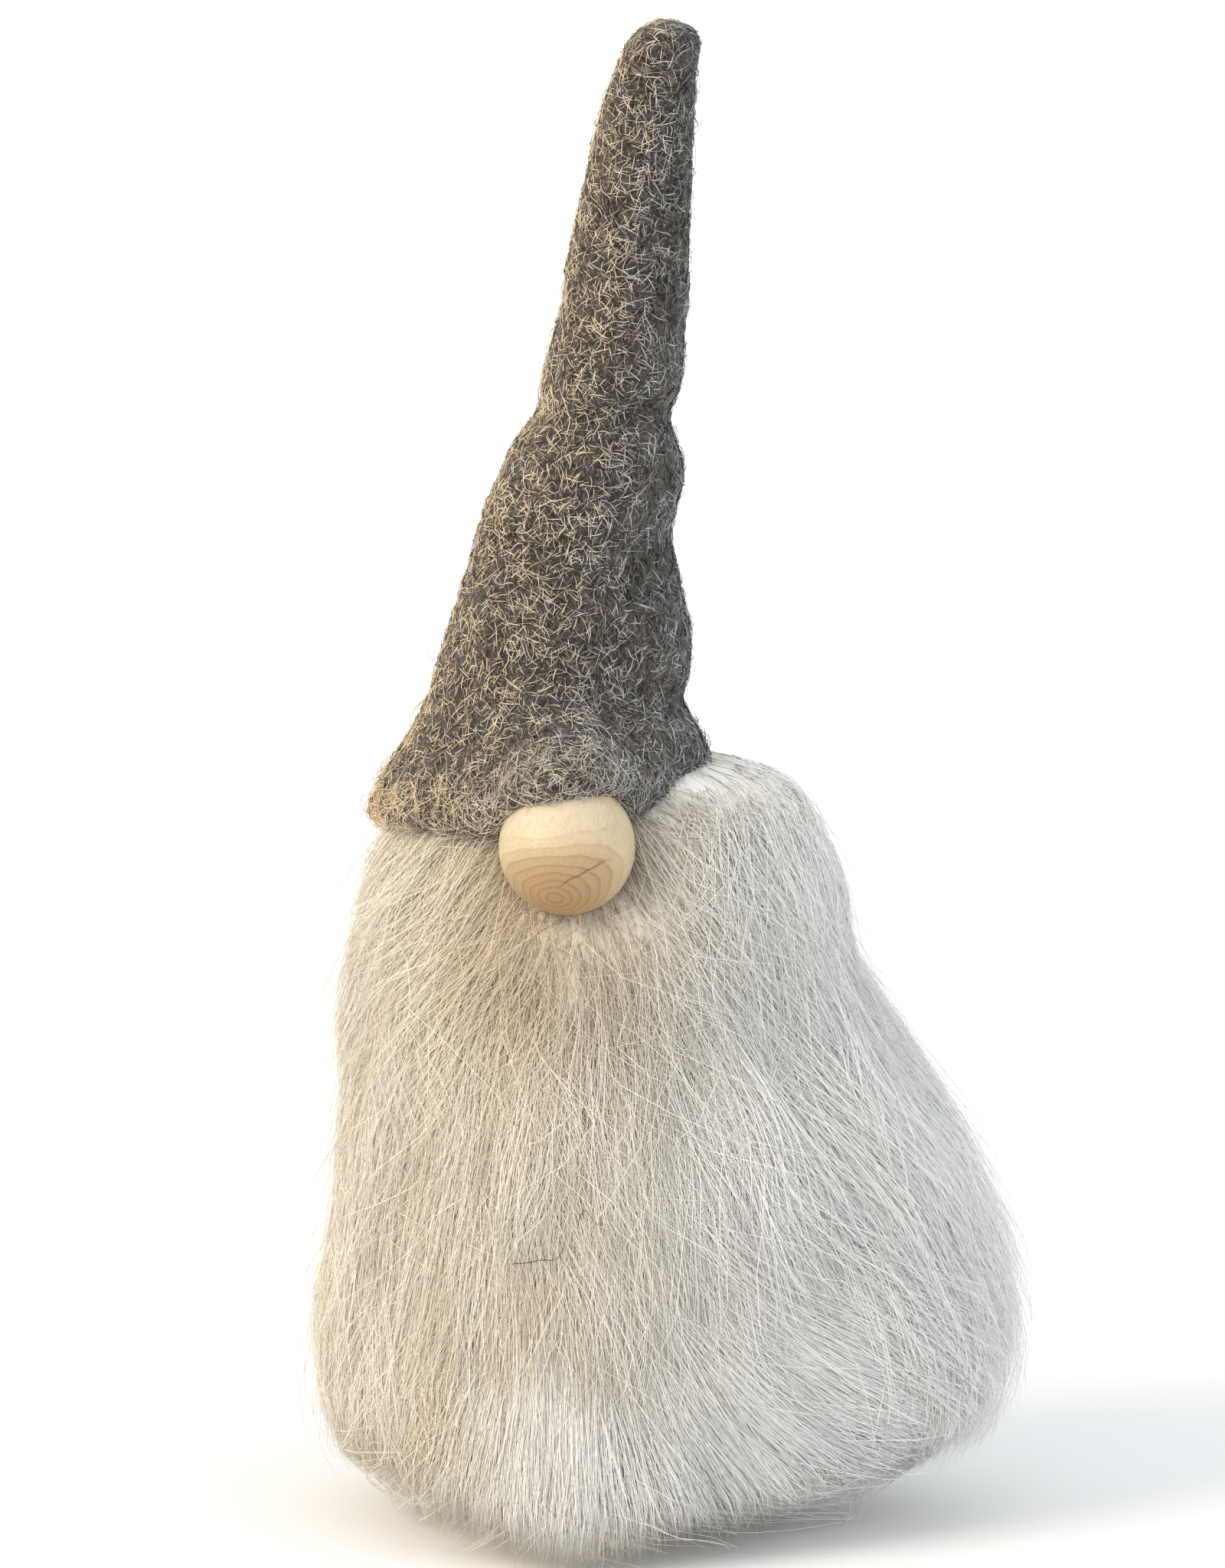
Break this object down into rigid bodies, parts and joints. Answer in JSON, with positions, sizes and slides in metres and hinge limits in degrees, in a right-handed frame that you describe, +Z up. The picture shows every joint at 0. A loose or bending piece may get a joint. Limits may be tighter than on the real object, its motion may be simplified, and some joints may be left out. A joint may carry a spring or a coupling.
{
  "type": "tomte gnome figurine",
  "caption": "Free-standing folk-craft tomte: weighted cloth body in long faux fur, a beard panel, a wooden ball nose and a tall wool-felt hat with a bendable tip.",
  "frame": {"origin": "centre of the underside of the round base", "axes": "+Z up to the hat's tip, -Y towards the nose, +X to the right seen from the front"},
  "size_m": [0.129, 0.1042, 0.28],
  "materials": {
    "base_felt": "pressed wool felt, matt",
    "board": "thin plywood, uncoated",
    "cotton": "plain-weave unbleached cotton",
    "sand": "loose dry sand",
    "cord": "twisted cotton string",
    "stuffing": "loose polyester fibre fill",
    "body_fur": "long-pile faux fur, cream to pale grey, soft sheen on the strands",
    "beard_fur": "longer, whiter faux fur with combed tips",
    "pale_thread": "cotton sewing thread",
    "dark_thread": "wool sewing thread",
    "nose_wood": "sanded untreated softwood, satin, growth rings and a fine drying crack",
    "glue": "set craft glue, semi-gloss",
    "hat_felt": "boiled wool in a brown and grey melange with long stray fibres",
    "wire": "soft annealed steel wire"
  },
  "bodies": {
    "gnome": {"base_felt_disc": "base_felt", "base_board": "board", "weight_bag": "cotton", "weight_sand": "sand", "weight_bag_tie": "cord", "body_sack": "cotton", "body_stuffing": "stuffing", "body_sack_tie": "cord", "body_fur_wrap": "body_fur", "fur_wrap_seam": "pale_thread", "beard_fur": "beard_fur", "beard_stitching": "pale_thread", "nose_ball": "nose_wood", "nose_glue_pad": "glue", "hat_lower": "hat_felt", "hat_crease": "hat_felt", "hat_stuffing_lower": "stuffing", "hat_wire": "wire", "hat_seam_lower": "dark_thread", "hat_glue_ring": "glue"},
    "hat_tip": {"hat_upper": "hat_felt", "hat_stuffing_upper": "stuffing", "hat_seam_upper": "dark_thread"}
  },
  "joints": [
    {"name": "hat_tip_bend", "type": "hinge", "parent": "gnome", "child": "hat_tip", "pos_m": [0.001, 0, 0.207], "axis": [0, 1, 0], "range_deg": [-60, 60], "deforming": ["hat_crease", "hat_wire"]}
  ]
}
